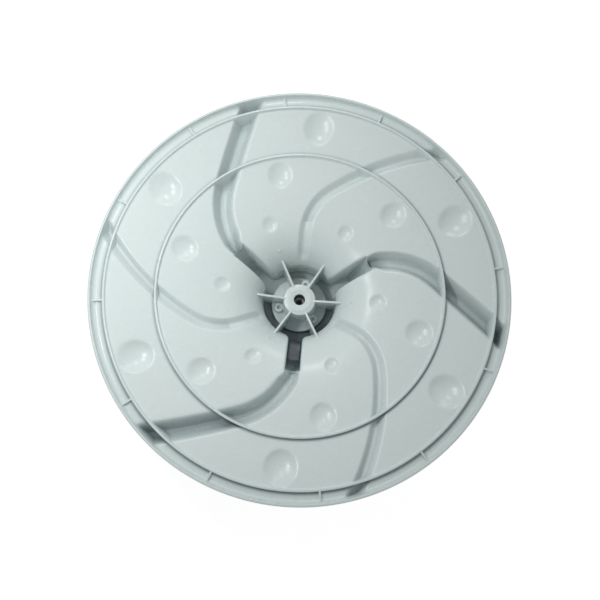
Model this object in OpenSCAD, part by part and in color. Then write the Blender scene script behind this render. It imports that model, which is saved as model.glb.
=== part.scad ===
// Low agitator disc for a washing machine: a dished plastic moulding with curved
// hollow vanes. It lies on its wash face, so the side that meets the drive looks up.
// All sizes are in millimetres. The drive axis is Z, and Z is 0 at the wash face.

/* [Disc] */
// Outer diameter over the skirt
disc_d = 400; // [396:1:408]
// Depth from the skirt's edge down to the lip of the hub well
dish_depth = 85; // [82:0.5:88]
// Wall thickness of the moulding
wall = 2.6; // [2.2:0.1:3]
// Thickness of the skirt round the edge
skirt_t = 2.4; // [2:0.1:3]
// Depth of the ledge below the skirt's edge
ledge_depth = 7.5; // [6.5:0.5:9]
// Width of the ledge, between the skirt and the outer ring
ledge_w = 9.3; // [8:0.1:11]
// Rounding of the disc's outer corner on the wash side
edge_round = 2.4; // [1:0.1:2.6]

/* [Dished face] */
// Slope of the outer cone, between the two rings, in degrees
outer_slope = 21.8; // [20:0.1:23]
// Slope of the inner cone, inside the inner ring, in degrees
inner_slope = 17.9; // [16:0.1:19]
// Radius at which the inner cone starts to curve down into the hub
flare_r = 80; // [78:1:84]

/* [Ring ribs] */
// Thickness of both ring ribs
ring_t = 2; // [1.6:0.1:2.6]
// Height of the outer ring rib over the ledge
outer_ring_h = 2.6; // [2:0.1:3.5]
// Radius of the inner ring rib, to its middle
inner_ring_r = 143; // [140:0.5:146]
// Height of the inner ring rib over the dished face
inner_ring_h = 3.2; // [2:0.1:4]
// Number of short radial ribs on the ledge
edge_ribs = 12; // [6:1:18]
// Thickness of the short radial ribs
edge_rib_t = 1.8; // [1.4:0.1:2.4]
// Height of the short radial ribs over the ledge
edge_rib_h = 3; // [2:0.1:4.5]
// Direction of the first short radial rib, in degrees
edge_rib_a = 4.7; // [0:0.1:12]

/* [Hub] */
// Diameter of the hub well at its lip
well_d = 82; // [78:1:84]
// Height of the hub from its wash face to the well's lip
hub_h = 35; // [33:0.5:38]
// Thickness of the well's floor
floor_t = 3; // [2.6:0.1:3.6]
// Rounding of the hub's outer edge on the wash face
hub_round = 4; // [2:0.5:5]
// Diameter of the drive boss at its end
boss_d = 34.8; // [32:0.2:37]
// Diameter of the drive boss at its root
boss_root_d = 40; // [38:0.5:43]
// Height of the boss's end over the well's lip
boss_rise = 6; // [4:0.5:8]
// Thickness of the six webs that hold the boss
web_t = 2.2; // [1.8:0.1:2.8]
// Radius at which the webs run out into the dished face
web_r = 47; // [46:0.5:50]
// Rise of each web from the boss to its outer end
web_rise = 6.5; // [5:0.5:8]
// Step from the boss's end down to the webs' tops
web_step = 0.6; // [0.3:0.1:1]

/* [Drive bush] */
// Diameter of the plain hole that leads into the bush
drive_hole_d = 12.4; // [12:0.1:13]
// Depth of that plain hole
lead_in = 4; // [3:0.5:6]
// Outer diameter of the metal bush
bush_d = 19; // [17:0.5:21]
// Length of the metal bush
bush_len = 14; // [12:0.5:15]
// Number of splines in the bush
spline_n = 12; // [8:1:16]
// Height of each spline
spline_h = 0.7; // [0.4:0.1:1]
// Diameter of the hole for the bolt that holds the disc on its shaft
bolt_hole_d = 7; // [6:0.5:8]

/* [Centre cap] */
// Diameter of the recess for the cap in the wash face
cap_recess_d = 58; // [54:1:60]
// Depth of that recess
cap_recess_h = 9; // [8:0.5:10]
// Clearance between the cap and the recess, all round
cap_gap = 0.3; // [0.2:0.05:0.5]
// How far the cap's face lies inside the wash face
cap_inset = 0.5; // [0.3:0.1:1]
// Wall thickness of the cap
cap_t = 2.2; // [1.8:0.1:2.6]
// Diameter of the cap's three pins
pin_d = 3.4; // [3:0.1:4]
// Clearance of the pins in their posts, all round
pin_gap = 0.15; // [0.1:0.05:0.25]
// Diameter of the three hollow posts for the pins
post_d = 11; // [9:0.5:12]
// Height of the posts over the floor of the cap recess
post_h = 9; // [7:0.5:12]
// Radius of the circle that the posts stand on
post_r = 23.5; // [22:0.5:24]

/* [Fins] */
// Width of the deep pocket under each of the three tall fins
pocket_w = 15; // [13:0.5:17]
// Radius at which the pocket ends
pocket_r = 80; // [78:1:82]
// Rounding of the pocket's mouth where it opens into the well
mouth_round = 6; // [4:0.5:8]
// Rise of the fin's crest from the hub out to its tip
crest_rise = 10; // [6:0.5:14]
// Lean of the fin's tip towards the hub, over its height
tip_lean = 3; // [1:0.5:5]
// Rounding of the fin's long edges on the wash side
fin_round = 5; // [3:0.5:6]
// Direction of the first fin, in degrees
fin_a = 24; // [20:0.5:28]

/* [Wide vanes] */
// Depth of the trough under each wide vane
wide_depth = 16; // [12:0.5:18]
// Reach of the trough to the outside of its bend
wide_out = 9; // [8:0.5:10]
// Reach of the trough to the inside of its bend
wide_in = 10.5; // [9:0.5:12]
// Width of the trough's floor
wide_floor = 7; // [6:0.5:9]
// Radius at which the wide vane starts to bend
wide_start = 59; // [57:1:61]
// Radius of the wide vane's bend
wide_bend = 71.4; // [68:0.2:75]
// Angle that the wide vane bends through, in degrees
wide_turn = 73; // [70:0.5:76]
// Direction in which the wide vane sets out, in degrees
wide_a = 26.5; // [24:0.5:29]

/* [Narrow vanes] */
// Depth of the groove under each narrow vane
narrow_depth = 6; // [4:0.5:8]
// Reach of the groove to each side of its middle
narrow_half = 6; // [5:0.5:7]
// Width of the groove's floor
narrow_floor = 2.4; // [1.6:0.2:4]
// Radius at which the narrow vane starts to bend
narrow_start = 67; // [65:1:69]
// Radius of the narrow vane's bend
narrow_bend = 52; // [49:0.5:55]
// Angle that the narrow vane bends through, in degrees
narrow_turn = 55; // [52:0.5:58]
// Direction in which the narrow vane sets out, in degrees
narrow_a = 85.2; // [83:0.2:88]

/* [Dimples] */
// Radius of the circle of the six large dimples
large_r = 169.6; // [168:0.2:171]
// Diameter of a large dimple
large_d = 31; // [28:0.5:33]
// Depth of a large dimple
large_h = 5; // [3:0.5:6]
// Radius of the circle of the six medium dimples
medium_r = 125.6; // [124:0.2:127]
// Diameter of a medium dimple
medium_d = 25.5; // [22:0.5:28]
// Depth of a medium dimple
medium_h = 4; // [3:0.5:5]
// Radius of the circle of the six small dimples
small_r = 81; // [80:0.2:83]
// Diameter of a small dimple
small_d = 15.5; // [13:0.5:17]
// Depth of a small dimple
small_h = 2.5; // [1.5:0.1:3]

/* [Hidden] */
$fn = 96;

// Thin overlap that lets joined solids share some volume
lap = 0.5;

// Counts and directions that repeat
fins = 3;
webs = 6;
dimples = 6;
web_a = fin_a + 30;
post_a = web_a + 16.5;
large_a = 23.4;
medium_a = 39.6;
small_a = 53.3;
// Direction, clear of every vane, in which the rings' revolves begin
ring_seam_a = 30;

// Radii of the disc
disc_r = disc_d / 2;
skirt_in_r = disc_r - skirt_t;
outer_ring_r = skirt_in_r - ledge_w - ring_t / 2;
well_r = well_d / 2;
hub_r = well_r + wall;

// Heights from the wash face
rim_z = hub_h + dish_depth;
ledge_z = rim_z - ledge_depth;
lip_z = hub_h;
boss_z = lip_z + boss_rise;
deck_z = cap_recess_h + floor_t;
deck_r = cap_recess_d / 2 + wall;
post_z = cap_recess_h + post_h;

// Heights of the dished face at its corners
inner_ring_z = ledge_z - (outer_ring_r - inner_ring_r) * tan(outer_slope);
flare_z = inner_ring_z - (inner_ring_r - flare_r) * tan(inner_slope);

// Arc that carries the inner cone down to the well's lip
chord_a = atan((flare_z - lip_z) / (flare_r - well_r));
lip_slope = 2 * chord_a - inner_slope;
flare_rad = (flare_r - well_r) / (sin(lip_slope) - sin(inner_slope));
flare_cx = flare_r + flare_rad * sin(inner_slope);
flare_cz = flare_z - flare_rad * cos(inner_slope);
flare_steps = 8;

// Height of the dished face at radius r
function face_z(r) =
    r >= outer_ring_r ? ledge_z :
    r >= inner_ring_r ? ledge_z - (outer_ring_r - r) * tan(outer_slope) :
    r >= flare_r ? inner_ring_z - (inner_ring_r - r) * tan(inner_slope) :
    flare_cz + sqrt(max(0, pow(flare_rad, 2) - pow(r - flare_cx, 2)));

// Slope of the dished face at radius r, in degrees
function face_slope(r) =
    r >= outer_ring_r ? 0 :
    r >= inner_ring_r ? outer_slope :
    r >= flare_r ? inner_slope :
    asin((flare_cx - r) / flare_rad);

// Points of a surface that lies t below the dished face, from the lip outwards
function flare_points(t) = [
    for (i = [0 : flare_steps])
        let (a = lip_slope + (inner_slope - lip_slope) * i / flare_steps)
        [flare_cx - (flare_rad - t) * sin(a), flare_cz + (flare_rad - t) * cos(a)]
];
function cone_points(t) = [
    [inner_ring_r + t * sin((inner_slope + outer_slope) / 2),
     inner_ring_z - t / cos((outer_slope - inner_slope) / 2) * cos((inner_slope + outer_slope) / 2)],
    [outer_ring_r + t * tan(outer_slope / 2), ledge_z - t]
];
function face_points(t) = concat(flare_points(t), cone_points(t));

// Points of a quarter of a circle about c, from direction a to b
function arc_points(c, r, a, b, n) = [
    for (i = [0 : n]) [c[0] + r * cos(a + (b - a) * i / n), c[1] + r * sin(a + (b - a) * i / n)]
];
function reversed(list) = [for (i = [len(list) - 1 : -1 : 0]) list[i]];

// Section of the shell: hub floor, well wall, dished face, ledge and skirt
module shell_section() {
    below = [for (p = face_points(wall)) if (p[0] > hub_r + 0.2) p];
    polygon(concat(
        [[0, 0], [0, deck_z], [deck_r, deck_z], [deck_r, floor_t], [well_r, floor_t]],
        face_points(0),
        [[skirt_in_r, ledge_z], [skirt_in_r, rim_z], [disc_r, rim_z]],
        reversed(arc_points([disc_r - edge_round, ledge_z - wall + edge_round], edge_round, -90, 0, 4)),
        reversed(below),
        [[hub_r, below[0][1] - (below[0][0] - hub_r) * tan(lip_slope)]],
        reversed(arc_points([hub_r - hub_round, hub_round], hub_round, -90, 0, 4))
    ));
}
module shell() {
    rotate_extrude() shell_section();
}

// Everything below the middle of the dished wall, out to the disc's edge
module under_face() {
    rotate_extrude() polygon(concat(
        [[0, -lap], [0, lip_z], [well_r, lip_z]],
        face_points(wall / 2),
        [[disc_r, ledge_z - wall / 2], [disc_r, -lap]]
    ));
}

// Plan of a pocket in a fin that lies along +X, grown by t on every side
function pocket_plan(t) =
    let (
        half = pocket_w / 2 + t,
        tip = pocket_r + t,
        corner = 2 + t,
        round_r = mouth_round - t,
        base_r = well_r + t,
        cx = sqrt(pow(base_r + round_r, 2) - pow(half + round_r, 2)),
        sweep = atan2(half + round_r, cx),
        side = concat(
            arc_points([cx, half + round_r], round_r, 180 + sweep, 270, 5),
            reversed(arc_points([tip - corner, half - corner], corner, 0, 90, 4))
        )
    )
    concat(side, [for (p = reversed(side)) [p[0], -p[1]]]);

// Slope of the fin's crest and the height of its line at radius r
crest_a = atan(crest_rise / (pocket_r - well_r));
function crest_z(r) = (r - well_r) * tan(crest_a);

// Body of one fin, without its pocket
module fin_solid() {
    half = pocket_w / 2 + wall;
    intersection() {
        translate([0, 0, -lap]) linear_extrude(rim_z) polygon(pocket_plan(wall));
        // long edges rounded, in a frame that leans with the crest
        translate([well_r, 0, 0]) rotate([0, -crest_a, 0]) rotate([90, 0, 90])
            translate([0, 0, -well_r / 2]) linear_extrude(pocket_r)
                polygon(concat(
                    [[-mouth_round * 2 - half, rim_z], [-mouth_round * 2 - half, fin_round]],
                    arc_points([fin_round - half, fin_round], fin_round, 180, 270, 4),
                    arc_points([half - fin_round, fin_round], fin_round, 270, 360, 4),
                    [[mouth_round * 2 + half, fin_round], [mouth_round * 2 + half, rim_z]]
                ));
        // side view: the tip leans in towards the hub
        rotate([90, 0, 0]) linear_extrude(4 * half, center = true)
            polygon([
                [well_r / 2, -lap], [pocket_r + wall - tip_lean, -lap],
                [pocket_r + wall, flare_z], [pocket_r + wall, rim_z], [well_r / 2, rim_z]
            ]);
        under_face();
    }
}

// Hollow of one fin, open to the well and to the dished face
module fin_pocket() {
    intersection() {
        linear_extrude(rim_z) polygon(pocket_plan(0));
        rotate([90, 0, 0]) linear_extrude(4 * pocket_w, center = true)
            polygon([
                [well_r / 2, floor_t], [well_r, floor_t],
                [pocket_r - tip_lean, crest_z(pocket_r - tip_lean) + floor_t],
                [pocket_r, flare_z], [pocket_r, rim_z], [well_r / 2, rim_z]
            ]);
    }
}

// Middle line of a vane that sets out along +X: straight, then a bend to the
// right, then a long tail. s is the way along it, counted from the bend's start.
function bend_len(v) = v[1] * v[2] * PI / 180;
function vane_heading(v, s) =
    s <= 0 ? 0 :
    s <= bend_len(v) ? s / v[1] * 180 / PI :
    v[2] + (s - bend_len(v)) / v[3] * 180 / PI;
function vane_point(v, s) =
    let (h = vane_heading(v, s), b = v[2])
    s <= 0 ? [v[0] + s, 0] :
    s <= bend_len(v) ? [v[0] + v[1] * sin(h), v[1] * (cos(h) - 1)] :
    [v[0] + v[1] * sin(b) + v[3] * (sin(h) - sin(b)), v[1] * (cos(b) - 1) + v[3] * (cos(h) - cos(b))];

// Section of a vane as [across, height over the dished face], grown by t
function vane_section(out, inn, floor_w, shift, depth, t, top) =
    let (
        left = atan((inn - floor_w / 2 + shift) / depth),
        right = atan((out - floor_w / 2 - shift) / depth),
        low = -depth - t,
        bevel = min(2, floor_w / 4)
    )
    [
        [-inn - t / cos(left) - top * tan(left), top],
        [shift - floor_w / 2 - t * (1 - sin(left)) / cos(left) - bevel * tan(left) / 2, low + bevel / 2],
        [shift - floor_w / 2 - t * (1 - sin(left)) / cos(left) + bevel, low],
        [shift + floor_w / 2 + t * (1 - sin(right)) / cos(right) - bevel, low],
        [shift + floor_w / 2 + t * (1 - sin(right)) / cos(right) + bevel * tan(right) / 2, low + bevel / 2],
        [out + t / cos(right) + top * tan(right), top]
    ];

// Solid swept along a vane's line; fade(s) scales the part below the face
module vane_sweep(v, section, s_from, s_to, steps, fade_len) {
    count = len(section);
    rings = [
        for (i = [0 : steps])
            let (
                s = s_from + (s_to - s_from) * i / steps,
                fade = fade_len > 0 ? min(1, 0.15 + 0.85 * (s - s_from) / fade_len) : 1,
                c = vane_point(v, s),
                h = vane_heading(v, s)
            )
            [for (q = section)
                let (
                    p = c + q[0] * [sin(h), cos(h)],
                    r = norm(p)
                )
                [p[0], p[1], face_z(r) + (q[1] < 0 ? q[1] * fade : q[1])]
            ]
    ];
    points = [for (ring = rings) for (p = ring) p];
    sides = [
        for (i = [0 : steps - 1]) for (j = [0 : count - 1])
            let (a = i * count + j, b = i * count + (j + 1) % count)
            each [[a, b + count, b], [a, a + count, b + count]]
    ];
    caps = concat(
        [for (j = [1 : count - 2]) [0, j, j + 1]],
        [for (j = [1 : count - 2]) [0, j + 1, j] + steps * count * [1, 1, 1]]
    );
    polyhedron(points, concat(sides, caps), convexity = 6);
}

wide_line = [wide_start, wide_bend, wide_turn, 800];
narrow_line = [narrow_start, narrow_bend, narrow_turn, 210];
wide_shift = 0.75;
wide_from = 8;
wide_to = 186;
narrow_from = -17;
narrow_to = 156;

module wide_vane(t, top) {
    vane_sweep(wide_line, vane_section(wide_out, wide_in, wide_floor, wide_shift, wide_depth, t, top),
        wide_from + t, wide_to, 20, 0);
}
module narrow_vane(t, top) {
    vane_sweep(narrow_line, vane_section(narrow_half, narrow_half, narrow_floor, 0, narrow_depth, t, top),
        narrow_from - t, narrow_to, 20, 34);
}

// Places its children in the direction of each of n copies, starting at a
module around(n, a) {
    for (i = [0 : n - 1]) rotate([0, 0, a + i * 360 / n]) children();
}

// Bodies of all vanes and fins, below the dished face
module vane_bodies() {
    around(fins, fin_a) fin_solid();
    intersection() {
        union() {
            around(fins, wide_a) wide_vane(wall, -wall / 2);
            around(fins, narrow_a) narrow_vane(wall, -wall / 2);
        }
        translate([0, 0, -lap]) cylinder(r = disc_r, h = rim_z, $fn = 180);
    }
}

// Hollows of all vanes and fins, as they are seen from the drive side
module vane_hollows() {
    around(fins, fin_a) fin_pocket();
    intersection() {
        union() {
            around(fins, wide_a) wide_vane(0, 4);
            around(fins, narrow_a) narrow_vane(0, 4);
        }
        cylinder(r = skirt_in_r, h = rim_z + lap, $fn = 180);
    }
}

// One ball of a dimple of diameter d and depth h at radius r, grown by t
module dimple_ball(r, d, h, t) {
    ball = (pow(d / 2, 2) + pow(h, 2)) / (2 * h);
    lift = ball - h;
    a = face_slope(r);
    translate([r - lift * sin(a), 0, face_z(r) + lift * cos(a)]) sphere(r = ball + t, $fn = 64);
}
module dimple_balls(t) {
    around(dimples, large_a) dimple_ball(large_r, large_d, large_h, t);
    around(dimples, medium_a) dimple_ball(medium_r, medium_d, medium_h, t);
    around(dimples, small_a) dimple_ball(small_r, small_d, small_h, t);
}

// A ring rib at radius r, from the given depth under the face up to height top
module ring_rib(r, low, top) {
    rotate([0, 0, ring_seam_a]) rotate_extrude($fn = 180)
        translate([r - ring_t / 2, low]) square([ring_t, top - low]);
}
module ring_ribs() {
    ring_rib(outer_ring_r, ledge_z - wall / 2, ledge_z + outer_ring_h);
    ring_rib(inner_ring_r, inner_ring_z - wall / 2, inner_ring_z + inner_ring_h);
    // the rings carry on as walls across the vanes' hollows
    intersection() {
        union() {
            ring_rib(outer_ring_r, ledge_z - wide_depth - 2 * wall, ledge_z);
            ring_rib(inner_ring_r, inner_ring_z - wide_depth - 2 * wall, inner_ring_z);
        }
        around(fins, wide_a) wide_vane(wall / 2, 0.4);
    }
    intersection() {
        union() {
            ring_rib(outer_ring_r, ledge_z - narrow_depth - 2 * wall, ledge_z);
            ring_rib(inner_ring_r, inner_ring_z - narrow_depth - 2 * wall, inner_ring_z);
        }
        around(fins, narrow_a) narrow_vane(wall / 2, 0.4);
    }
}
module edge_rib_set() {
    around(edge_ribs, edge_rib_a)
        translate([outer_ring_r, -edge_rib_t / 2, ledge_z - wall / 2])
            cube([disc_r - skirt_t / 2 - outer_ring_r, edge_rib_t, edge_rib_h + wall / 2]);
}

// The drive boss and the webs that tie it to the well's wall
module boss() {
    translate([0, 0, deck_z - lap])
        cylinder(d1 = boss_root_d, d2 = boss_d, h = boss_z - deck_z + lap);
}
module web_set() {
    around(webs, web_a) rotate([90, 0, 0]) linear_extrude(web_t, center = true)
        polygon([
            [boss_d / 2 - 2, deck_z - lap], [deck_r - lap, deck_z - lap], [deck_r - lap, floor_t - lap],
            [well_r + lap, floor_t - lap], [well_r + lap, lip_z - wall], [web_r, face_z(web_r) - wall / 2],
            [web_r, boss_z - web_step + web_rise], [boss_d / 2, boss_z - web_step],
            [boss_d / 2 - 2, boss_z - web_step]
        ]);
}
module post_set() {
    around(3, post_a) translate([post_r, 0, deck_z - lap])
        cylinder(d = post_d, h = post_z - deck_z + lap, $fn = 48);
}

// The plastic moulding, in one piece
module agitator_moulding() {
    color([0.87, 0.90, 0.89]) difference() {
        union() {
            difference() {
                union() {
                    shell();
                    vane_bodies();
                    intersection() {
                        dimple_balls(wall);
                        under_face();
                    }
                }
                vane_hollows();
                dimple_balls(0);
            }
            ring_ribs();
            edge_rib_set();
            boss();
            web_set();
            post_set();
        }
        // recess for the cap, bolt hole, seat of the bush and plain lead-in
        translate([0, 0, -lap]) cylinder(d = cap_recess_d, h = cap_recess_h + lap);
        cylinder(d = bolt_hole_d, h = boss_z, $fn = 48);
        translate([0, 0, boss_z - lead_in - bush_len]) cylinder(d = bush_d, h = bush_len, $fn = 64);
        translate([0, 0, boss_z - lead_in - lap]) cylinder(d = drive_hole_d, h = lead_in + 2 * lap, $fn = 48);
        around(3, post_a) translate([post_r, 0, 0])
            cylinder(d = pin_d + 2 * pin_gap, h = rim_z / 2, $fn = 24);
    }
}

// Metal bush with splines that grip the drive shaft
module drive_bush() {
    root_r = drive_hole_d / 2;
    tip_r = root_r - spline_h;
    pitch = 360 / spline_n;
    color([0.34, 0.31, 0.28]) translate([0, 0, boss_z - lead_in - bush_len])
        linear_extrude(bush_len) difference() {
            circle(d = bush_d, $fn = 64);
            polygon([
                for (i = [0 : spline_n - 1]) each [
                    root_r * [cos(i * pitch), sin(i * pitch)],
                    root_r * [cos((i + 0.45) * pitch), sin((i + 0.45) * pitch)],
                    tip_r * [cos((i + 0.6) * pitch), sin((i + 0.6) * pitch)],
                    tip_r * [cos((i + 0.85) * pitch), sin((i + 0.85) * pitch)]
                ]
            ]);
        }
}

// Cap that closes the recess in the wash face, held by three pins
module centre_cap() {
    cap_r = cap_recess_d / 2 - cap_gap;
    color([0.80, 0.84, 0.85]) {
        rotate_extrude() polygon(concat(
            [[0, cap_inset + cap_t], [0, cap_inset]],
            arc_points([cap_r - 1.5, cap_inset + 1.5], 1.5, -90, 0, 3),
            [[cap_r, cap_recess_h], [cap_r - cap_t, cap_recess_h], [cap_r - cap_t, cap_inset + cap_t]]
        ));
        around(3, post_a) translate([post_r, 0, cap_inset + cap_t / 2])
            cylinder(d = pin_d, h = post_z - 4 - cap_inset - cap_t / 2, $fn = 24);
    }
}

agitator_moulding();
drive_bush();
centre_cap();
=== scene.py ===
import math

import bmesh
import bpy
import numpy as np
from mathutils import Matrix, Vector


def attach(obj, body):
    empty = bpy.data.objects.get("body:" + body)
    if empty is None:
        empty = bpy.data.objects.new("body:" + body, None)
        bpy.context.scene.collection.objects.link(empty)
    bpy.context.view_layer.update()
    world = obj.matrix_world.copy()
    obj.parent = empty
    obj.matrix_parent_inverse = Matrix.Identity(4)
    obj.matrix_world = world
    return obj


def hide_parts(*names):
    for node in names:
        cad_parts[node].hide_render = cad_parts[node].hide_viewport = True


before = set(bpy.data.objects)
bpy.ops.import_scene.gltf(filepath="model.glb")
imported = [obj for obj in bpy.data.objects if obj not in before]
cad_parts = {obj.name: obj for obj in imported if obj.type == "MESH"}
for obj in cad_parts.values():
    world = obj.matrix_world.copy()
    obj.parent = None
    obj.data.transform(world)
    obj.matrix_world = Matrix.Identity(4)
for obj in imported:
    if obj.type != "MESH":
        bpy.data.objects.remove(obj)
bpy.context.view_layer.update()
scene = bpy.context.scene
MM = 0.001

# Sizes in millimetres, the same as the CAD source's
# Turned profile
DISC_R = 200.0
WALL = 2.6
HUB_H = 35.0
RIM_Z = HUB_H + 85.0
LEDGE_Z = RIM_Z - 7.5
SKIRT_IN = DISC_R - 2.4
RING_T = 2.0
OUT_RING_R = SKIRT_IN - 9.3 - RING_T / 2
OUT_RING_TOP = LEDGE_Z + 2.6
IN_RING_R = 143.0
OUT_SLOPE = math.radians(21.8)
IN_SLOPE = math.radians(17.9)
FLARE_R = 80.0
WELL_R = 41.0
FLOOR_Z = 3.0
DECK_Z = 12.0
DECK_R = 31.6
RECESS_R = 29.0
RECESS_Z = 9.0
BOSS_Z = HUB_H + 6.0
IN_RING_Z = LEDGE_Z - (OUT_RING_R - IN_RING_R) * math.tan(OUT_SLOPE)
IN_RING_TOP = IN_RING_Z + 3.2
FLARE_Z = IN_RING_Z - (IN_RING_R - FLARE_R) * math.tan(IN_SLOPE)
LIP_SLOPE = 2 * math.atan((FLARE_Z - HUB_H) / (FLARE_R - WELL_R)) - IN_SLOPE
FLARE_RAD = (FLARE_R - WELL_R) / (math.sin(LIP_SLOPE) - math.sin(IN_SLOPE))
FLARE_CX = FLARE_R + FLARE_RAD * math.sin(IN_SLOPE)
FLARE_CZ = FLARE_Z - FLARE_RAD * math.cos(IN_SLOPE)

# Fins and vanes: directions of the first ones in degrees, and the vanes' middle lines,
# each a straight start, the radius and turn of a bend, and the radius of what follows
POCKET_HALF = 7.5
POCKET_R = 80.0
MOUTH = 6.0
FIN_A, WIDE_A, NARROW_A = 24.0, 26.5, 85.2
WIDE_LINE = (59.0, 71.4, math.radians(73.0), 800.0)
NARROW_LINE = (67.0, 52.0, math.radians(55.0), 210.0)

# Dimples: direction of the first, distance from the axis, radius and depth
LARGE = (23.4, 169.6, 15.5, 5.6)
MEDIUM = (39.6, 125.6, 12.75, 4.5)
SMALL = (53.3, 81.0, 7.75, 2.8)

# Roundings that the solids don't have
LIP_RAD = 2.6
FOOT_RAD = 1.6
END_RAD = 5.0
LEAN_LENGTH = 16.0
SKIRT_FILLET = 4.2
EASE = 14.0

# Painted shade in the recesses and painted shadow beside the ring ribs: at 1 it darkens the plastic's colour by
# this much
PAINTED_SHADE_COLOR = (0.15, 0.19, 0.23, 1)
# and the painted shade is heaviest towards this direction, in degrees
DARK_SIDE = 285.0

# Edges steeper than this, in degrees, stay sharp in the shading
SHARP = 38.0


# Helpers

def smooth(a, b, x):
    """0 up to a, 1 from b on, and an even S between them."""
    t = np.clip((np.asarray(x, float) - a) / (b - a), 0, 1)
    return t * t * (3 - 2 * t)


def face_z(r, drop=0.0):
    """Height of the dished face, or of the surface drop below it, with the flare's bend eased."""
    r = np.asarray(r, float)
    reach = EASE * smooth(44, 64, r) * (1 - smooth(100, 104, r))
    weights = np.hanning(23)[1:-1]
    near = r[..., None] + reach[..., None] * np.linspace(-1, 1, len(weights))
    return (drawn_z(near, drop) * weights).sum(-1) / weights.sum()


def drawn_z(r, drop):
    """Height of the dished face as it is drawn in CAD, from an arc and two straight cones."""
    rad = FLARE_RAD - drop
    flare = FLARE_CZ + np.sqrt(np.maximum(rad * rad - np.minimum(r - FLARE_CX, 0) ** 2, 0))
    inner = IN_RING_Z - (IN_RING_R - r) * math.tan(IN_SLOPE) - drop / math.cos(IN_SLOPE)
    outer = LEDGE_Z - (OUT_RING_R - r) * math.tan(OUT_SLOPE) - drop / math.cos(OUT_SLOPE)
    z = np.where(r < FLARE_R + drop * math.sin(IN_SLOPE), flare, inner)
    cone = 0.5 * (z + outer + np.sqrt((z - outer) ** 2 + 0.075))
    z = np.where(r > IN_RING_R - 25, np.where(r < FLARE_R + 5, z, cone), z)
    return np.minimum(z, LEDGE_Z - drop)


def arm_curve(line, base):
    """Radius, direction and normal of points along a vane's middle line."""
    r0, r1, turn, r2 = line
    s = np.linspace(2 - r0, 190, 1200)
    bend = r1 * turn
    h = np.where(s <= 0, 0, np.where(s <= bend, s / r1, turn + (s - bend) / r2))
    x = np.where(s <= 0, r0 + s, np.where(s <= bend, r0 + r1 * np.sin(h),
                 r0 + r1 * math.sin(turn) + r2 * (np.sin(h) - math.sin(turn))))
    y = np.where(s <= 0, 0, np.where(s <= bend, r1 * (np.cos(h) - 1),
                 r1 * (math.cos(turn) - 1) + r2 * (np.cos(h) - math.cos(turn))))
    nx, ny = np.sin(h), np.cos(h)
    c, t = math.cos(math.radians(base)), math.sin(math.radians(base))
    return c * x - t * y, t * x + c * y, c * nx - t * ny, t * nx + c * ny


def offset_angle(line, base, d, r):
    """Direction, at radii r, of the curve that runs d beside a vane's middle line."""
    x, y, nx, ny = arm_curve(line, base)
    px, py = x + d * nx, y + d * ny
    rr, th = np.hypot(px, py), np.unwrap(np.arctan2(py, px))
    keep = np.concatenate([[True], np.diff(np.maximum.accumulate(rr)) > 1e-6])
    return np.interp(r, rr[keep], th[keep])


def straight_angle(base, d, r):
    """The same beside a straight line out of the middle."""
    return math.radians(base) + np.arcsin(np.clip(d / np.maximum(r, 12.0), -0.95, 0.95))


def pocket_half(r, grow=0.0):
    """Half width of a fin's pocket at radius r, with its flared mouth."""
    half, rnd, base = POCKET_HALF + grow, MOUTH - grow, WELL_R + grow
    cx = math.sqrt((base + rnd) ** 2 - (half + rnd) ** 2)
    x = np.sqrt(np.maximum(np.asarray(r, float) ** 2 - (half + 1.5) ** 2, 1))
    y = half + rnd - np.sqrt(np.maximum(rnd * rnd - np.clip(x - cx, -rnd * 0.93, 0) ** 2, 0))
    return np.where(x >= cx, half, y)


def blur_profile(xs, ys, width, lo=-30.0, hi=30.0):
    """A section given by its corners, with the corners rounded over the given width."""
    g = np.arange(lo, hi, 0.1)
    v = np.interp(g, xs, ys)
    k = int(width / 0.1) | 1
    w = np.hanning(k + 2)[1:-1]
    v = np.convolve(np.pad(v, k // 2, mode="edge"), w / w.sum(), mode="valid")
    return lambda d: np.interp(d, g, v)


WIDE_TOP = blur_profile([-12.6, -10.8, -8.4, -4.8, -2.0, 3.8, 9.3], [0, 0.05, 0.25, 0.72, 1, 1, 0], 3.0)
WIDE_BOT = blur_profile([-13.6, -4.8, 6.6, 12.0], [0, 1, 1, 0], 5.0)
NARROW_TOP = blur_profile([-6.6, -1.3, 1.3, 6.6], [0, 1, 1, 0], 2.2)
NARROW_BOT = blur_profile([-9.4, -3.0, 3.0, 9.4], [0, 1, 1, 0], 3.4)


def wide_depth(r):
    """Depth of the wide channels at radius r."""
    return np.interp(r, [78, 92, 143, 187, 198], [12.5, 15.0, 16.2, 16.8, 17.0])


def narrow_depth(r):
    """Depth of the narrow channels at radius r."""
    return np.interp(r, [50, 100, 143, 180, 189, 198], [4.6, 5.4, 6.0, 6.3, 7.6, 7.8])


def dimples(x, y, grow=0.0):
    """How far the dimples sink the surface at x, y."""
    out = np.zeros_like(x)
    for a0, rad, size, deep in (LARGE, MEDIUM, SMALL):
        ball = (size ** 2 + deep ** 2) / (2 * deep)
        for k in range(6):
            a = math.radians(a0 + 60 * k)
            q = np.hypot(x - rad * math.cos(a), y - rad * math.sin(a)) * (size / (size + grow))
            cap = np.sqrt(np.maximum(ball * ball - q * q, 0)) - (ball - deep)
            soft = 0.5 * (cap + np.sqrt(cap * cap + 0.12)) - 0.02
            out += np.where(q < size * 1.6, np.maximum(soft, 0), 0)
    return out


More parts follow.
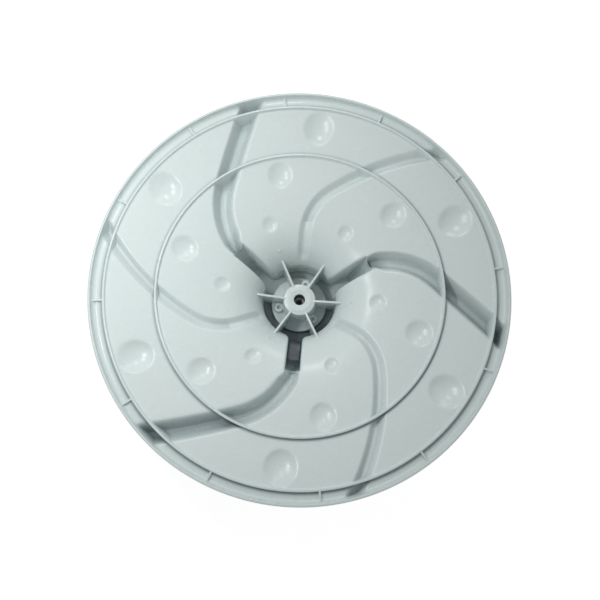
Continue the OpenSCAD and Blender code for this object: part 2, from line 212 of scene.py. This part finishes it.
def quads_to_mesh(name, verts, quads, sharp=SHARP, painted_shade=None):
    """A smooth-shaded object from vertices in millimetres, with its painted shade as an attribute."""
    mesh = bpy.data.meshes.new(name)
    mesh.from_pydata((verts * MM).tolist(), [], quads)
    layer = mesh.attributes.new("painted_shade", "FLOAT", "POINT")
    if painted_shade is not None:
        layer.data.foreach_set("value", np.asarray(painted_shade, np.float32))
    mesh.validate()
    mesh.update()
    mesh.polygons.foreach_set("use_smooth", [True] * len(mesh.polygons))
    if sharp:
        mesh.set_sharp_from_angle(angle=math.radians(sharp))
    obj = bpy.data.objects.new(name, mesh)
    scene.collection.objects.link(obj)
    return obj


# The dish

def both_sides(offsets):
    """The offsets of one side of a vane's middle line and their mirror images, in order."""
    return sorted({-c for c in offsets} | set(offsets))


# Distances of the grid's columns from a vane's middle line, closest where an edge lies
WALL_COL = 7.48
WIDE_COLS = both_sides([0, 1.3, 2.6, 3.8, 4.8, 5.6, 6.2, 6.7, 7.1, 7.36,
                        7.60, 7.9, 8.3, 8.8, 9.4, 10.1, 10.9, 11.8, 12.9, 14.2])
NARROW_COLS = both_sides([0, 0.8, 1.6, 2.4, 3.3, 4.2, 5.1, 6.0, 6.9, 7.8, 8.9])


def columns(r, gap_cols, grow):
    """Directions of all grid columns at radii r, and each column's vane and offset."""
    n = len(r)
    ths, tags = [], []
    turn = 2 * math.pi / 3
    wide, narrow = [], []
    half = pocket_half(r, grow)
    for d in WIDE_COLS:
        bent = offset_angle(WIDE_LINE, WIDE_A, d, np.maximum(r, 60))
        # Up to the pocket's end the columns follow the pocket's walls
        c = abs(d)
        aside = np.where(c < WALL_COL, c * (half / WALL_COL), half + (c - WALL_COL))
        aside = math.copysign(1, d) * aside if d else 0 * aside
        flat = straight_angle(FIN_A, aside, np.maximum(r, WELL_R - 0.8))
        t = smooth(POCKET_R + 0.6, POCKET_R + 10, r)
        wide.append(flat * (1 - t) + bent * t)
    for d in NARROW_COLS:
        bent = offset_angle(NARROW_LINE, NARROW_A, d, np.maximum(r, 48))
        narrow.append(bent)
    for k in range(3):
        for d, th in zip(WIDE_COLS, wide):
            ths.append(th + k * turn)
            tags.append(("w", d))
        last = wide[-1] + k * turn
        first = narrow[0] + k * turn
        for i in range(1, gap_cols):
            ths.append(last + (first - last) * i / gap_cols)
            tags.append(("g", 0))
        for d, th in zip(NARROW_COLS, narrow):
            ths.append(th + k * turn)
            tags.append(("n", d))
        last = narrow[-1] + k * turn
        first = wide[0] + (k + 1) * turn
        for i in range(1, gap_cols):
            ths.append(last + (first - last) * i / gap_cols)
            tags.append(("g", 0))
    return np.array(ths).reshape(-1, n), tags


def fillet_drop(delta, rad):
    """How far an edge rounded to rad drops at delta from the wall."""
    t = np.clip((rad - delta) / rad, 0, 1)
    return rad * (1 - np.sqrt(1 - t * t))


def crest_z(r):
    """Height of the fin's lower edge."""
    return (np.asarray(r, float) - WELL_R) * 10.0 / (POCKET_R - WELL_R)


def wide_face(r, z0, d, top):
    """Height of the face in a column d beside a wide vane's middle line."""
    section = WIDE_TOP if top else WIDE_BOT
    stretch = 1.0 + 0.38 * (1 - smooth(POCKET_R, POCKET_R + 12, r))
    return z0 - wide_depth(r) * section(d * stretch) * smooth(POCKET_R - 1, POCKET_R + 2, r)


def pocket_top(r, z0, z, d, half, face):
    """Heights z of the dished side, with the fin's pocket sunk into them."""
    c = abs(d)
    if c >= WALL_COL:
        beside = (r > WELL_R - 2.4) & (r < POCKET_R) & face
        return np.where(beside, z - fillet_drop(c - WALL_COL, LIP_RAD), z)
    low = np.maximum(FLOOR_Z, crest_z(r) + FLOOR_Z)
    sunk = low + fillet_drop((WALL_COL - c) * half / WALL_COL, FOOT_RAD)
    sunk = np.maximum(sunk, low + fillet_drop(np.maximum(POCKET_R - r, 0), END_RAD))
    # The end leans back, from the floor up to the channel
    stretch = 1.0 + 0.38 * (1 - smooth(POCKET_R, POCKET_R + 12, r))
    channel = z0 - wide_depth(POCKET_R) * WIDE_TOP(d * stretch)
    lean = np.clip((r - POCKET_R + LEAN_LENGTH) / LEAN_LENGTH, 0, 1) ** 1.6
    sunk = np.maximum(sunk, low + lean * (channel - END_RAD - low))
    z = np.where((r > WELL_R - 2.4) & (r < POCKET_R), np.minimum(z, sunk), z)
    past_end = (r >= POCKET_R) & (r < POCKET_R + END_RAD)
    return np.where(past_end, z - fillet_drop(r - POCKET_R, END_RAD), z)


def fin_bottom(r, z, d, half):
    """Heights z of the wash side, with the fin standing out of them."""
    c = abs(d)
    if c >= WALL_COL:
        return z
    end = POCKET_R + WALL
    low = np.maximum(crest_z(r), 0.0)
    low = low + fillet_drop((WALL_COL - c) * half / WALL_COL, 4.6)
    low = low + fillet_drop(np.maximum(end - 2.4 - r, 0), 4.0)
    return np.where((r > 36.0) & (r < end), np.minimum(z, low), z)


def paint_recess_shade(r, th, z0, z, face):
    """How much painted shade darkens the pockets, the channels and the well, and how much painted shadow lies
    beside the ring ribs.
    """
    # Painted shade in the pockets and channels, heavier deeper down and towards DARK_SIDE
    side = 0.5 + 0.5 * np.cos(th - math.radians(DARK_SIDE))
    pocket = np.interp(r, [41, 60, 72, 80], [0.22, 0.20, 0.05, 0.0]) + 0.80 * side ** 4
    channel = np.interp(r, [80, 90, 130, 146, 184, 190], [0.16, 0.25, 0.42, 0.60, 0.60, 0.85])
    channel = channel * (0.35 + 0.75 * side)
    channel += np.interp(r, [80, 100], [0.95, 0.0]) * (1 - side ** 4)
    painted_shade = np.clip((z0 - z) / 20, 0, 1) * np.where(r < POCKET_R, pocket, channel)
    # Painted shadows of the ring ribs on the face just outside each rib, heavier towards DARK_SIDE
    for ring, most in ((IN_RING_R, 0.75), (OUT_RING_R, 0.85)):
        foot = np.interp(r - ring, [1.0, 1.3, 2.6, 4.4], [0.0, most, 0.85 * most, 0])
        painted_shade = np.maximum(painted_shade, np.where(face, foot * (0.4 + 0.6 * side), 0))
    # Painted shade in the well, darkest on its floor
    well = np.interp(z, [FLOOR_Z, DECK_Z - 3, DECK_Z, 20, 33], [1.0, 0.9, 0.3, 0.25, 0.0])
    return np.where(r < WELL_R, np.maximum(painted_shade, well * (0.16 + 0.84 * side)), painted_shade)


def surface(r, z0, kind, gap_cols, top):
    """One side of the dish: rows follow a turned profile, columns follow the vanes."""
    grow = 0.0 if top else WALL
    th, tags = columns(r, gap_cols, grow)
    z = np.tile(z0, (len(tags), 1))
    face = kind == "face"
    half = pocket_half(r, grow)
    for j, (tag, d) in enumerate(tags):
        if tag == "w":
            z[j] = np.where(face, wide_face(r, z0, d, top), z0)
            z[j] = pocket_top(r, z0, z[j], d, half, face) if top else fin_bottom(r, z[j], d, half)
        elif tag == "n":
            section = NARROW_TOP if top else NARROW_BOT
            z[j] = np.where(face, z0 - narrow_depth(r) * section(d) * smooth(42.5, 50, r), z0)
    x = r * np.cos(th)
    y = r * np.sin(th)
    # Painted shade for the recesses and beside the ribs, on the upper side only
    painted_shade = paint_recess_shade(r, th, z0, z, face) if top else np.zeros_like(z)
    sink = dimples(x, y, 0.0 if top else 2.0) * ((r > 60) & (np.abs(r - IN_RING_R) > 1.2) & face)
    return np.stack([x, y, z - sink], -1), painted_shade


def profile_rows(parts):
    """Radius, height and kind of every row of a profile given in named stretches."""
    rows = [(p[0], p[1], kind) for kind, points in parts for p in points]
    r, z, kind = zip(*rows)
    return np.array(r, float), np.array(z, float), np.array(kind)


def face_row(rs, drop=0.0):
    """Points of the dished face, or of the surface drop below it, at the given radii."""
    rs = np.asarray(rs, float)
    return list(zip(rs, face_z(rs, drop)))


def arc(cx, cz, rad, a, b, n):
    """n points of an arc in a profile, from direction a to direction b in degrees."""
    t = np.radians(np.linspace(a, b, n))
    return list(zip(cx + rad * np.cos(t), cz + rad * np.sin(t)))


def graded(a, b, step, dense=()):
    """Radii from a to b, a step apart, with extra ones packed round the given places."""
    base = list(np.linspace(a, b, max(2, int(round((b - a) / step)) + 1)))
    for c, offs in dense:
        base = [x for x in base if abs(x - c) > max(abs(o) for o in offs) * 1.05 + 0.2]
        base += [c + o for o in offs if a - 1e-6 <= c + o <= b + 1e-6]
    return np.array(sorted(base))


# Extra rows round the pocket's end
END_OFFS = (-4.2, -3.4, -2.6, -1.7, -1.1, -0.6, -0.25, -0.06, 0.06, 0.25, 0.55, 0.95, 1.4, 2.2, 3.2, 4.4)


def join(name, top, bottom, painted_shade):
    """Closes a top grid and a bottom grid into one solid. Both run from the middle outwards."""
    n, a, _ = top.shape
    b = bottom.shape[1]
    verts = np.concatenate([top.reshape(-1, 3), bottom.reshape(-1, 3)])
    off = n * a
    i = np.arange(n)
    k = (i + 1) % n
    quads = []
    for c in range(a - 1):
        quads += np.stack([i * a + c, i * a + c + 1, k * a + c + 1, k * a + c], 1).tolist()
    for c in range(off, off + b - 1):
        quads += np.stack([i * b + c, k * b + c, k * b + c + 1, i * b + c + 1], 1).tolist()
    rim_top, rim_low = a - 1, off + b - 1
    quads += np.stack([i * a + rim_top, i * b + rim_low, k * b + rim_low, k * a + rim_top], 1).tolist()
    quads += np.stack([i * a, k * a, off + k * b, off + i * b], 1).tolist()
    painted_shade = np.concatenate([painted_shade.ravel(), np.zeros(n * b)])
    return quads_to_mesh(name, verts, quads, painted_shade=painted_shade)


def rib_edge(wall, top, sign):
    """The rounded upper edge of a ring rib, whose wall is at radius wall. Sign 1 is its inner side."""
    points = [(wall, top - 0.5), (wall + sign * 0.12, top - 0.15), (wall + sign * 0.35, top)]
    return points if sign > 0 else points[::-1]


def raise_feet(top, r, walls):
    """Raises the rows next to the ring ribs' walls into a small fillet. Sign 1 lies outside a wall."""
    for wall, sign in walls:
        for away, up in ((0.15, 0.6), (0.4, 0.22), (0.7, 0.05)):
            top[:, np.abs(r - (wall + sign * away)) < 1e-4, 2] += up


def inner_dish():
    """The inner half, from the boss to the middle of the inner ring rib."""
    rib_in = IN_RING_R - RING_T / 2
    top_r = graded(WELL_R + 0.25, rib_in - 1.6, 1.45, ((POCKET_R, END_OFFS),))
    parts = [
        ("hub", [(11.0, DECK_Z), (16.0, DECK_Z), (22.0, DECK_Z), (28.0, DECK_Z)]),
        ("hub", arc(DECK_R - 1.2, DECK_Z - 1.2, 1.2, 85, 5, 5)),
        ("hub", [(DECK_R, FLOOR_Z + 1.2)]),
        ("hub", arc(DECK_R + 1.2, FLOOR_Z + 1.2, 1.2, 190, 265, 4)),
        ("hub", [(34.5, FLOOR_Z), (37.5, FLOOR_Z)]),
        ("wall", arc(WELL_R - 2.3, FLOOR_Z + 1.6, 1.6, -80, -5, 5)),
        ("wall", [(WELL_R - 0.7 + 0.6 * t, FLOOR_Z + 2 + (HUB_H - FLOOR_Z - 2.6) * t)
                  for t in np.linspace(0.05, 1, 8)]),
        ("face", face_row(top_r)),
        ("face", face_row([rib_in - 1.1, rib_in - 0.7, rib_in - 0.4, rib_in - 0.15])),
        ("rib", rib_edge(rib_in, IN_RING_TOP, 1)),
        ("rib", [(IN_RING_R, IN_RING_TOP)]),
    ]
    r, z, k = profile_rows(parts)
    top, painted_shade = surface(r, z, k, 62, True)
    raise_feet(top, r, ((rib_in, -1),))
    around_end = (-4.5, -3.2, -2.2, -1.4, -0.7, -0.12, 0.12, 0.8, 1.8)
    bot_r = graded(46.4, IN_RING_R, 3.0, ((POCKET_R + WALL, around_end),))
    parts = [
        ("hub", [(11.0, RECESS_Z), (20.0, RECESS_Z), (RECESS_R - 0.6, RECESS_Z)]),
        ("hub", [(RECESS_R, RECESS_Z - 0.6), (RECESS_R, 0.5), (RECESS_R + 0.5, 0.0)]),
        ("hub", [(33.0, 0.0), (37.0, 0.0)]),
        ("hub", arc(39.6, 4.0, 4.0, -88, -4, 7)),
        ("hub", [(43.6 + 0.5 * t, 5.0 + (31.5 - 5.0) * t) for t in np.linspace(0, 1, 7)]),
        ("face", face_row([44.6, 45.2, 45.8], WALL)),
        ("face", face_row(bot_r, WALL)),
    ]
    r, z, k = profile_rows(parts)
    bottom, _ = surface(r, z, k, 62, False)
    return join("dish_inner", top, bottom, painted_shade)


def outer_dish():
    """The outer half, from the middle of the inner ring rib to the skirt."""
    rib_out = IN_RING_R + RING_T / 2
    ring_in, ring_out = OUT_RING_R - RING_T / 2, OUT_RING_R + RING_T / 2
    parts = [
        ("rib", [(IN_RING_R, IN_RING_TOP)]),
        ("rib", rib_edge(rib_out, IN_RING_TOP, -1)),
        ("face", face_row([rib_out + 0.15, rib_out + 0.4, rib_out + 0.7, rib_out + 1.1])),
        ("face", face_row(graded(rib_out + 1.7, ring_in - 1.6, 1.5))),
        ("face", face_row([ring_in - 1.1, ring_in - 0.7, ring_in - 0.4, ring_in - 0.15])),
        ("rib", rib_edge(ring_in, OUT_RING_TOP, 1)),
        ("rib", [(OUT_RING_R, OUT_RING_TOP)]),
        ("rib", rib_edge(ring_out, OUT_RING_TOP, -1)),
        ("face", [(ring_out + x, LEDGE_Z) for x in (0.15, 0.4, 0.7, 1.1)]),
        ("face", [(x, LEDGE_Z) for x in np.linspace(ring_out + 1.8, SKIRT_IN - 4.4, 4)]),
        ("face", [(x, LEDGE_Z) for x in (194.1, 194.9, 195.6, 196.2, 196.7, 197.1)]),
        ("rim", [(SKIRT_IN - 0.15, LEDGE_Z + 3.4), (SKIRT_IN, LEDGE_Z + 4.4)]),
        ("rim", [(SKIRT_IN, RIM_Z - 0.6)]),
        ("rim", arc(SKIRT_IN + 0.6, RIM_Z - 0.6, 0.6, 170, 95, 4)),
        ("rim", arc(DISC_R - 0.7, RIM_Z - 0.6, 0.6, 85, 5, 4)),
        ("rim", [(DISC_R - 0.06, RIM_Z - 3.0), (DISC_R - 0.03, RIM_Z - 6.0)]),
    ]
    r, z, k = profile_rows(parts)
    top, painted_shade = surface(r, z, k, 88, True)
    ledge = (r > ring_out + 1.7) & (r < SKIRT_IN) & (k == "face")
    into = np.clip(np.where(ledge, r, 0) - (SKIRT_IN - 4.4), 0, 3.9)
    top[:, :, 2] += SKIRT_FILLET - np.sqrt(SKIRT_FILLET ** 2 - into ** 2)
    raise_feet(top, r, ((rib_out, 1), (ring_in, -1), (ring_out, 1)))
    parts = [
        ("face", face_row(graded(IN_RING_R, OUT_RING_R - 1.5, 2.4), WALL)),
        ("face", face_row([OUT_RING_R, 189.5, 192.0, 194.5, 196.5], WALL)),
        ("face", [(DISC_R - x, LEDGE_Z - WALL + z)
                  for x, z in ((2.4, 0.02), (1.5, 0.28), (0.7, 0.85), (0.2, 1.6), (0.0, 2.6))]),
    ]
    r, z, k = profile_rows(parts)
    bottom, _ = surface(r, z, k, 88, False)
    return join("dish_outer", top, bottom, painted_shade)


# Small forms

def turned(name, pts, steps, sharp=SHARP):
    """A closed profile turned about Z. The profile runs counter-clockwise in (r, z)."""
    pts = np.array(pts, float)
    m = len(pts)
    a = np.linspace(0, 2 * math.pi, steps, endpoint=False)
    x, y = np.outer(np.cos(a), pts[:, 0]), np.outer(np.sin(a), pts[:, 0])
    verts = np.stack([x, y, np.tile(pts[:, 1], (steps, 1))], -1).reshape(-1, 3)
    quads = []
    for i in range(steps):
        n = (i + 1) % steps
        for j in range(m):
            q = (j + 1) % m
            quads.append([i * m + j, n * m + j, n * m + q, i * m + q])
    return quads_to_mesh(name, verts, quads, sharp)


def slab(name, outline, thick, bevel):
    """A flat outline in (along, height), thickened to both sides of y = 0, with bevelled edges."""
    n = len(outline)
    verts = np.array([[p[0], s * thick / 2, p[1]] for s in (-1, 1) for p in outline], float)
    faces = [list(range(n)), list(range(2 * n - 1, n - 1, -1))]
    faces += [[(i + 1) % n, i, n + i, n + (i + 1) % n] for i in range(n)]
    obj = quads_to_mesh(name, verts, faces, None)
    mod = obj.modifiers.new("edge", "BEVEL")
    mod.width, mod.segments = bevel * MM, 3
    mod.limit_method, mod.angle_limit = "ANGLE", math.radians(30)
    mod.harden_normals = False
    return obj


def spin(obj, angle):
    """Turns an object's own mesh about Z, so that the object itself stays at the origin."""
    obj.data.transform(Matrix.Rotation(math.radians(angle), 4, "Z"))
    return obj


def make_boss():
    """The boss with its collared end, hollow for the bush and the bolt."""
    seat, step, face, foot_r, foot_z = 9.5, 9.2, 13.6, 19.6, 17.5
    pts = [(3.5, RECESS_Z + 0.4), (11.0, RECESS_Z + 0.4), (11.0, 11.0)]
    pts += [(21.6, 11.2), (21.2, 12.3), (20.6, 13.2), (20.1, 14.6), (foot_r, foot_z)]
    pts += [(foot_r - 2.1 * t, foot_z + (BOSS_Z - 2.0 - foot_z) * t) for t in (0.33, 0.66, 1.0)]
    pts += arc(16.4, BOSS_Z - 1.8, 1.05, 5, 72, 5)
    pts += [(face + 0.9, BOSS_Z - 0.55), (face + 0.35, BOSS_Z - 0.42), (face + 0.1, BOSS_Z - 0.12)]
    pts += [(face - 0.2, BOSS_Z), (step + 0.5, BOSS_Z), (step + 0.15, BOSS_Z - 0.1)]
    pts += [(step, BOSS_Z - 0.45), (step - 0.4, BOSS_Z - 0.5), (6.9, BOSS_Z - 0.5)]
    pts += [(6.45, BOSS_Z - 0.65), (6.2, BOSS_Z - 1.1), (6.2, 37.0)]
    pts += [(seat, 37.0), (seat, 23.0), (3.5, 23.0)]
    return turned("boss", pts, 96)


def make_gate_marks():
    """The three marks left by the moulding gates, just beyond every second web."""
    out = []
    r, first, low_r, high_r, tall = 55.0, 113.4, 1.9, 1.35, 2.0
    z = float(face_z(r)) - 0.35
    slope = math.atan(float(face_z(r + 0.5) - face_z(r - 0.5)))
    place = Matrix.Translation(Vector((r * MM, 0, z * MM))) @ Matrix.Rotation(-slope, 4, "Y")
    for k in range(3):
        mesh = bpy.data.meshes.new(f"gate_mark_{k + 1}")
        bm = bmesh.new()
        bmesh.ops.create_cone(bm, cap_ends=True, segments=24, depth=tall * MM,
                              radius1=low_r * MM, radius2=high_r * MM)
        bm.to_mesh(mesh)
        bm.free()
        # An empty painted-shade attribute, so that the shared material finds one
        mesh.attributes.new("painted_shade", "FLOAT", "POINT")
        o = bpy.data.objects.new(mesh.name, mesh)
        scene.collection.objects.link(o)
        mod = o.modifiers.new("edge", "BEVEL")
        mod.width, mod.segments = 0.3 * MM, 3
        mesh.transform(place)
        out.append(spin(o, first + 120 * k))
    return out


def make_webs():
    """The six webs from the boss to the dish, each of which rises outwards."""
    out = []
    thick, first, reach = 2.2, 54, 47.0
    top = [(15.0, BOSS_Z - 0.3), (reach, BOSS_Z + 6.3)]
    outer = [(reach, float(face_z(reach)) - 1.6), (44.5, float(face_z(44.5)) - 1.7)]
    outer += [(42.4, 33.5), (41.6, 30.0), (41.2, FLOOR_Z - 0.8)]
    inner = [(DECK_R - 1, FLOOR_Z - 0.8), (DECK_R - 1, DECK_Z - 0.8), (15.0, DECK_Z - 0.8)]
    outline = [top[0]] + inner[::-1] + outer[::-1] + [top[1]]
    for k in range(6):
        out.append(spin(slab(f"web_{k + 1}", outline, thick, 0.5), first + 60 * k))
    return out


def make_posts():
    """The three hollow posts on the deck, between webs."""
    out = []
    bore, place_r, first = 1.85, 23.5, 70.5
    foot = [(bore, 11.0), (6.3, 11.0), (6.1, 12.2), (5.6, 13.0), (5.4, 14.2)]
    tip = [(5.3, 17.3), (5.1, 17.8), (4.8, 18.0), (2.5, 18.0), (2.1, 17.85), (bore, 17.4)]
    for k in range(3):
        o = turned(f"post_{k + 1}", foot + tip, 40)
        o.data.transform(Matrix.Translation(Vector((place_r * MM, 0, 0))))
        out.append(spin(o, first + 120 * k))
    return out


def make_edge_ribs():
    """The twelve short ribs between the outer ring rib and the skirt."""
    out = []
    thick, first = 1.7, 4.7
    low, high = LEDGE_Z - 1.2, LEDGE_Z + 3.0
    outline = [(OUT_RING_R, low), (SKIRT_IN + 1.2, low), (SKIRT_IN + 1.2, high)]
    outline += [(OUT_RING_R + 0.2, high - 0.6), (OUT_RING_R, high - 0.9)]
    for k in range(12):
        out.append(spin(slab(f"edge_rib_{k + 1:02d}", outline, thick, 0.35), first + 30 * k))
    return out


# Materials

def principled(name):
    """A new material, its node tree and its shader."""
    mat = bpy.data.materials.new(name)
    mat.use_nodes = True
    tree = mat.node_tree
    return mat, tree, tree.nodes["Principled BSDF"]


def node(tree, kind, **inputs):
    """A new node with some of its inputs set."""
    n = tree.nodes.new(kind)
    for key, value in inputs.items():
        n.inputs[key].default_value = value
    return n


def ramp(tree, source, stops):
    """A colour ramp fed by source."""
    n = tree.nodes.new("ShaderNodeValToRGB")
    cr = n.color_ramp
    cr.elements[0].position, cr.elements[0].color = stops[0]
    cr.elements[1].position, cr.elements[1].color = stops[-1]
    for pos, col in stops[1:-1]:
        e = cr.elements.new(pos)
        e.color = col
    tree.links.new(source, n.inputs["Fac"])
    return n


def plastic(name, base, rough):
    """Slightly uneven, softly shining plastic, darkened with painted shade where the piece's shade attribute
    says.
    """
    mat, tree, bsdf = principled(name)
    links = tree.links
    coord = tree.nodes.new("ShaderNodeTexCoord")
    cloud = node(tree, "ShaderNodeTexNoise", Scale=6.0, Detail=1.0, Roughness=0.4)
    fine = node(tree, "ShaderNodeTexNoise", Scale=900.0, Detail=2.0, Roughness=0.6)
    flow = node(tree, "ShaderNodeTexNoise", Scale=60.0, Detail=2.0, Roughness=0.5)
    for n in (cloud, fine, flow):
        links.new(coord.outputs["Object"], n.inputs["Vector"])
    lo = tuple(c * 0.98 for c in base) + (1,)
    hi = tuple(min(1, c * 1.015) for c in base) + (1,)
    tint = ramp(tree, cloud.outputs["Fac"], [(0.2, lo), (0.8, hi)])
    # The painted shade from the mesh attribute darkens the base colour
    layer = tree.nodes.new("ShaderNodeAttribute")
    layer.attribute_name = "painted_shade"
    painted_shade = tree.nodes.new("ShaderNodeMix")
    painted_shade.data_type, painted_shade.blend_type = "RGBA", "MULTIPLY"
    painted_shade.inputs[7].default_value = PAINTED_SHADE_COLOR
    links.new(layer.outputs["Fac"], painted_shade.inputs[0])
    links.new(tint.outputs["Color"], painted_shade.inputs[6])
    links.new(painted_shade.outputs[2], bsdf.inputs["Base Color"])
    gloss = tree.nodes.new("ShaderNodeMapRange")
    for key, value in zip(("From Min", "From Max", "To Min", "To Max"), (0.3, 0.7, rough - 0.01, rough + 0.015)):
        gloss.inputs[key].default_value = value
    links.new(flow.outputs["Fac"], gloss.inputs["Value"])
    links.new(gloss.outputs["Result"], bsdf.inputs["Roughness"])
    bump = tree.nodes.new("ShaderNodeBump")
    bump.inputs["Strength"].default_value, bump.inputs["Distance"].default_value = 0.06, 0.00006
    links.new(fine.outputs["Fac"], bump.inputs["Height"])
    links.new(bump.outputs["Normal"], bsdf.inputs["Normal"])
    bsdf.inputs["IOR"].default_value = 1.49
    bsdf.inputs["Specular IOR Level"].default_value = 0.36
    bsdf.inputs["Subsurface Weight"].default_value = 0.08
    bsdf.inputs["Subsurface Radius"].default_value = (1.0, 1.0, 0.9)
    bsdf.inputs["Subsurface Scale"].default_value = 0.002
    return mat


def sintered(name):
    """Dark, dull, porous steel."""
    mat, tree, bsdf = principled(name)
    coord = tree.nodes.new("ShaderNodeTexCoord")
    grain = node(tree, "ShaderNodeTexNoise", Scale=1400.0, Detail=4.0, Roughness=0.7)
    tree.links.new(coord.outputs["Object"], grain.inputs["Vector"])
    tint = ramp(tree, grain.outputs["Fac"], [(0.3, (0.10, 0.085, 0.07, 1)), (0.7, (0.24, 0.20, 0.17, 1))])
    tree.links.new(tint.outputs["Color"], bsdf.inputs["Base Color"])
    bump = tree.nodes.new("ShaderNodeBump")
    bump.inputs["Strength"].default_value, bump.inputs["Distance"].default_value = 0.5, 0.0001
    tree.links.new(grain.outputs["Fac"], bump.inputs["Height"])
    tree.links.new(bump.outputs["Normal"], bsdf.inputs["Normal"])
    bsdf.inputs["Metallic"].default_value = 0.85
    bsdf.inputs["Roughness"].default_value = 0.55
    return mat


BODY_MAT = plastic("moulded_plastic", (0.62, 0.70, 0.69), 0.27)
CAP_MAT = plastic("cap_plastic", (0.61, 0.69, 0.68), 0.25)
BUSH_MAT = sintered("sintered_steel")

pieces = [inner_dish(), outer_dish(), make_boss()]
pieces += make_webs() + make_posts() + make_edge_ribs() + make_gate_marks()
for p in pieces:
    p.data.materials.clear()
    p.data.materials.append(BODY_MAT)
    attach(p, "root")
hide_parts("agitator_moulding")
for name, mat in (("centre_cap", CAP_MAT), ("drive_bush", BUSH_MAT)):
    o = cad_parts[name]
    o.data.materials.clear()
    o.data.materials.append(mat)

# Camera

# Fitted to the photo: tilts in radians, place over the skirt's edge, lens for a width of 600 pixels
TILT_X, TILT_Y = -0.2008, 0.0229
CAM_AT = (-11.96, -109.74, RIM_Z + 457.11)
FOCAL_PX, PHOTO_PX, SENSOR = 497.67, 600, 36

cam_data = bpy.data.cameras.new("camera")
cam_data.sensor_width = SENSOR
cam_data.lens = SENSOR * FOCAL_PX / PHOTO_PX
cam_data.clip_start, cam_data.clip_end = 0.01, 20
cam = bpy.data.objects.new("camera", cam_data)
scene.collection.objects.link(cam)
turn = Matrix.Rotation(TILT_Y, 3, "Y") @ Matrix.Rotation(TILT_X, 3, "X")
cam.matrix_world = Matrix.Translation(Vector(CAM_AT) * MM) @ turn.transposed().to_4x4()
scene.camera = cam


# Light and floor

# Name, place, diameter and power of each lamp, all aimed at the middle of the dish
AIM = (0, 0, 0.09)
LAMPS = (
    ("key", (-0.17, 0.105, 0.34), 0.05, 0.21),
    ("key low", (-0.17, 0.0, 0.34), 0.05, 0.28),
    ("key high", (-0.02, 0.26, 0.38), 0.05, 0.24),
    ("back", (0.20, 0.55, 0.33), 0.2, 0.42),
    ("right", (0.50, 0.0, 0.45), 0.2, 0.08),
    ("front", (-0.05, -0.50, 0.419), 0.2, 0.04),
)


def area(name, pos, size, power):
    """A round area lamp aimed at the dish."""
    data = bpy.data.lights.new(name, "AREA")
    data.shape, data.size = "DISK", size
    data.energy = power
    o = bpy.data.objects.new(name, data)
    scene.collection.objects.link(o)
    o.location = pos
    o.rotation_mode = "QUATERNION"
    o.rotation_quaternion = (Vector(AIM) - Vector(pos)).to_track_quat("-Z", "Y")


for lamp in LAMPS:
    area(*lamp)


def seen_ray(tree):
    """1 for camera, glossy and transmission rays, so that gloss shows the same background."""
    path = tree.nodes.new("ShaderNodeLightPath")
    first = tree.nodes.new("ShaderNodeMath")
    first.operation = "MAXIMUM"
    tree.links.new(path.outputs["Is Camera Ray"], first.inputs[0])
    tree.links.new(path.outputs["Is Glossy Ray"], first.inputs[1])
    second = tree.nodes.new("ShaderNodeMath")
    second.operation = "MAXIMUM"
    tree.links.new(first.outputs["Value"], second.inputs[0])
    tree.links.new(path.outputs["Is Transmission Ray"], second.inputs[1])
    return second.outputs["Value"]


def link_mix(tree, lit, seen, output):
    """Sends the lit shader to the output for all rays but those that see the picture."""
    pick = tree.nodes.new("ShaderNodeMixShader")
    tree.links.new(seen_ray(tree), pick.inputs["Fac"])
    tree.links.new(lit, pick.inputs[1])
    tree.links.new(seen, pick.inputs[2])
    tree.links.new(pick.outputs["Shader"], tree.nodes[output].inputs["Surface"])


WHITE = (1, 1, 1, 1)

world = bpy.data.worlds.new("world")
scene.world = world
world.use_nodes = True
sky_tree = world.node_tree
sky = sky_tree.nodes["Background"]
sky.inputs["Color"].default_value = WHITE
sky.inputs["Strength"].default_value = 0.35
backdrop = node(sky_tree, "ShaderNodeBackground", Color=WHITE, Strength=1.0)
link_mix(sky_tree, sky.outputs["Background"], backdrop.outputs["Background"], "World Output")

bpy.ops.mesh.primitive_plane_add(size=8, location=(0, 0, -0.0005))
floor = bpy.context.object
floor.name = "floor"
floor_mat, floor_tree, floor_lit = principled("floor")
floor_lit.inputs["Base Color"].default_value = (0.93, 0.93, 0.93, 1)
floor_lit.inputs["Roughness"].default_value = 0.9
glow = node(floor_tree, "ShaderNodeEmission", Color=WHITE, Strength=0.82)
matt = node(floor_tree, "ShaderNodeBsdfDiffuse", Color=(0.55, 0.55, 0.55, 1), Roughness=0.5)
shaded = floor_tree.nodes.new("ShaderNodeAddShader")
floor_tree.links.new(glow.outputs["Emission"], shaded.inputs[0])
floor_tree.links.new(matt.outputs["BSDF"], shaded.inputs[1])
link_mix(floor_tree, floor_lit.outputs["BSDF"], shaded.outputs["Shader"], "Material Output")
floor.data.materials.append(floor_mat)

scene.view_settings.view_transform = "Standard"
